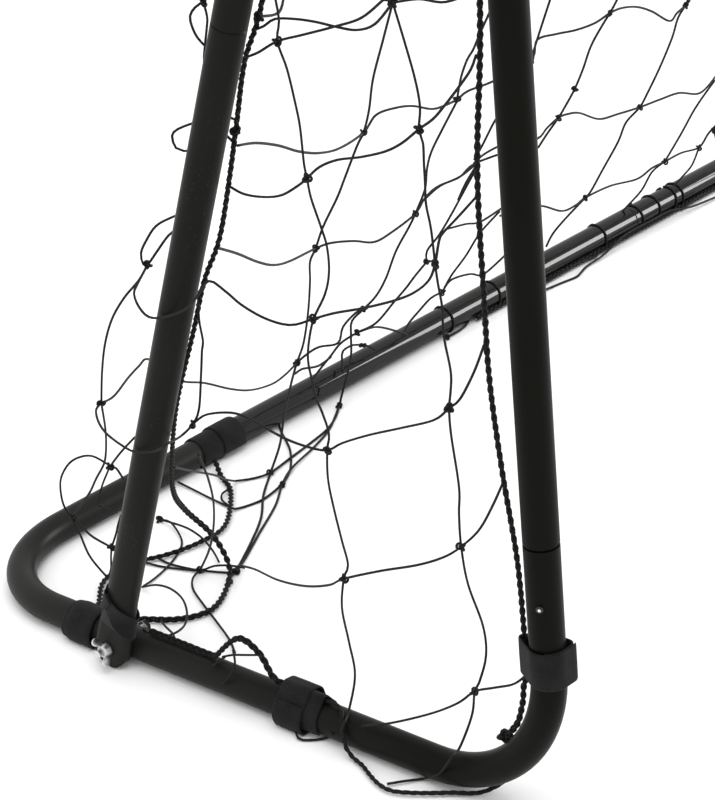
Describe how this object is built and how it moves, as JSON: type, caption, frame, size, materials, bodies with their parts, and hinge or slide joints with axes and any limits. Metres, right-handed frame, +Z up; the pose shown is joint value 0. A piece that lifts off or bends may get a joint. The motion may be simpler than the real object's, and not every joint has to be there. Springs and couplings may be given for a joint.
{
  "type": "football goal",
  "caption": "Small free-standing garden football goal: bent steel tubes that plug together, bolted diagonal struts, knotted net, border rope and hook-and-loop straps.",
  "frame": {"origin": "on the ground, at the middle of the goal's bounding box", "axes": "+Z up, X across the mouth, -Y out of the mouth towards the player, +Y towards the rear ground bar"},
  "size_m": [1.8812, 0.6412, 1.2222],
  "materials": {
    "frame_coat": "satin black powder coat",
    "zinc_hardware": "bright zinc plate",
    "spring_steel": "plain spring steel",
    "strap_fabric": "matt hook-and-loop tape",
    "net_cord": "twisted black polyethylene cord",
    "border_rope": "loosely braided black rope"
  },
  "bodies": {
    "root": {"base_tube_left": "frame_coat", "base_tube_right": "frame_coat", "front_post_left": "frame_coat", "front_post_right": "frame_coat", "top_corner_left": "frame_coat", "top_corner_right": "frame_coat", "crossbar_tube": "frame_coat", "rear_bar_left": "frame_coat", "rear_bar_right": "frame_coat", "lower_strut_left": "frame_coat", "lower_strut_right": "frame_coat", "upper_strut_left": "frame_coat", "upper_strut_right": "frame_coat", "strut_bolts": "zinc_hardware", "button_springs": "spring_steel", "post_strap_left": "strap_fabric", "post_strap_right": "strap_fabric", "side_bar_strap_left": "strap_fabric", "side_bar_strap_right": "strap_fabric", "foot_strap_left": "strap_fabric", "foot_strap_right": "strap_fabric", "strut_strap_left": "strap_fabric", "strut_strap_right": "strap_fabric", "rear_strap_left": "strap_fabric", "rear_strap_right": "strap_fabric", "crossbar_straps": "strap_fabric", "back_net": "net_cord", "side_net_left": "net_cord", "side_net_right": "net_cord", "front_rope": "border_rope", "rear_rope": "border_rope", "seam_rope_left": "border_rope", "seam_rope_right": "border_rope", "side_rope_left": "border_rope", "side_rope_right": "border_rope", "slack_rope_left": "border_rope", "slack_rope_right": "border_rope", "corner_rope_left": "border_rope", "corner_rope_right": "border_rope"},
    "foot_wing_nut_left": {"foot_wing_nut_left": "zinc_hardware"},
    "foot_wing_nut_right": {"foot_wing_nut_right": "zinc_hardware"},
    "top_wing_nut_left": {"top_wing_nut_left": "zinc_hardware"},
    "top_wing_nut_right": {"top_wing_nut_right": "zinc_hardware"},
    "lower_post_button_left": {"lower_post_button_left": "zinc_hardware"},
    "lower_post_button_right": {"lower_post_button_right": "zinc_hardware"},
    "upper_post_button_left": {"upper_post_button_left": "zinc_hardware"},
    "upper_post_button_right": {"upper_post_button_right": "zinc_hardware"},
    "crossbar_button_left": {"crossbar_button_left": "zinc_hardware"},
    "crossbar_button_right": {"crossbar_button_right": "zinc_hardware"},
    "rear_button_left": {"rear_button_left": "zinc_hardware"},
    "rear_button_right": {"rear_button_right": "zinc_hardware"},
    "rear_button_middle": {"rear_button_middle": "zinc_hardware"},
    "strut_button_left": {"strut_button_left": "zinc_hardware"},
    "strut_button_right": {"strut_button_right": "zinc_hardware"}
  },
  "joints": [
    {"name": "foot_wing_nut_left_turn", "type": "hinge", "parent": "root", "child": "foot_wing_nut_left", "pos_m": [-0.9025, 0.114, 0.017], "axis": [1, 0, 0], "continuous": true},
    {"name": "top_wing_nut_left_turn", "type": "hinge", "parent": "root", "child": "top_wing_nut_left", "pos_m": [-0.9025, -0.304, 1.13], "axis": [1, 0, 0], "continuous": true},
    {"name": "foot_wing_nut_right_turn", "type": "hinge", "parent": "root", "child": "foot_wing_nut_right", "pos_m": [0.9025, 0.114, 0.017], "axis": [1, 0, 0], "continuous": true},
    {"name": "top_wing_nut_right_turn", "type": "hinge", "parent": "root", "child": "top_wing_nut_right", "pos_m": [0.9025, -0.304, 1.13], "axis": [1, 0, 0], "continuous": true},
    {"name": "lower_post_button_left_press", "type": "slide", "parent": "root", "child": "lower_post_button_left", "axis": [0.9135, 0.4067, 0], "range_m": [0, 0.0038], "stiffness_N_per_m": 600, "deforming": ["button_springs"]},
    {"name": "upper_post_button_left_press", "type": "slide", "parent": "root", "child": "upper_post_button_left", "axis": [1, 0, 0], "range_m": [0, 0.0038], "stiffness_N_per_m": 600, "deforming": ["button_springs"]},
    {"name": "crossbar_button_left_press", "type": "slide", "parent": "root", "child": "crossbar_button_left", "axis": [0, 0, 1], "range_m": [0, 0.0038], "stiffness_N_per_m": 600, "deforming": ["button_springs"]},
    {"name": "rear_button_left_press", "type": "slide", "parent": "root", "child": "rear_button_left", "axis": [0, -1, 0], "range_m": [0, 0.0038], "stiffness_N_per_m": 600, "deforming": ["button_springs"]},
    {"name": "strut_button_left_press", "type": "slide", "parent": "root", "child": "strut_button_left", "axis": [0, 0.9362, 0.3516], "range_m": [0, 0.0038], "stiffness_N_per_m": 600, "deforming": ["button_springs"]},
    {"name": "lower_post_button_right_press", "type": "slide", "parent": "root", "child": "lower_post_button_right", "axis": [-0.9135, 0.4067, 0], "range_m": [0, 0.0038], "stiffness_N_per_m": 600, "deforming": ["button_springs"]},
    {"name": "upper_post_button_right_press", "type": "slide", "parent": "root", "child": "upper_post_button_right", "axis": [-1, 0, 0], "range_m": [0, 0.0038], "stiffness_N_per_m": 600, "deforming": ["button_springs"]},
    {"name": "crossbar_button_right_press", "type": "slide", "parent": "root", "child": "crossbar_button_right", "axis": [0, 0, 1], "range_m": [0, 0.0038], "stiffness_N_per_m": 600, "deforming": ["button_springs"]},
    {"name": "rear_button_right_press", "type": "slide", "parent": "root", "child": "rear_button_right", "axis": [0, -1, 0], "range_m": [0, 0.0038], "stiffness_N_per_m": 600, "deforming": ["button_springs"]},
    {"name": "strut_button_right_press", "type": "slide", "parent": "root", "child": "strut_button_right", "axis": [0, 0.9362, 0.3516], "range_m": [0, 0.0038], "stiffness_N_per_m": 600, "deforming": ["button_springs"]},
    {"name": "rear_button_middle_press", "type": "slide", "parent": "root", "child": "rear_button_middle", "axis": [0, -1, 0], "range_m": [0, 0.0038], "stiffness_N_per_m": 600, "deforming": ["button_springs"]}
  ]
}
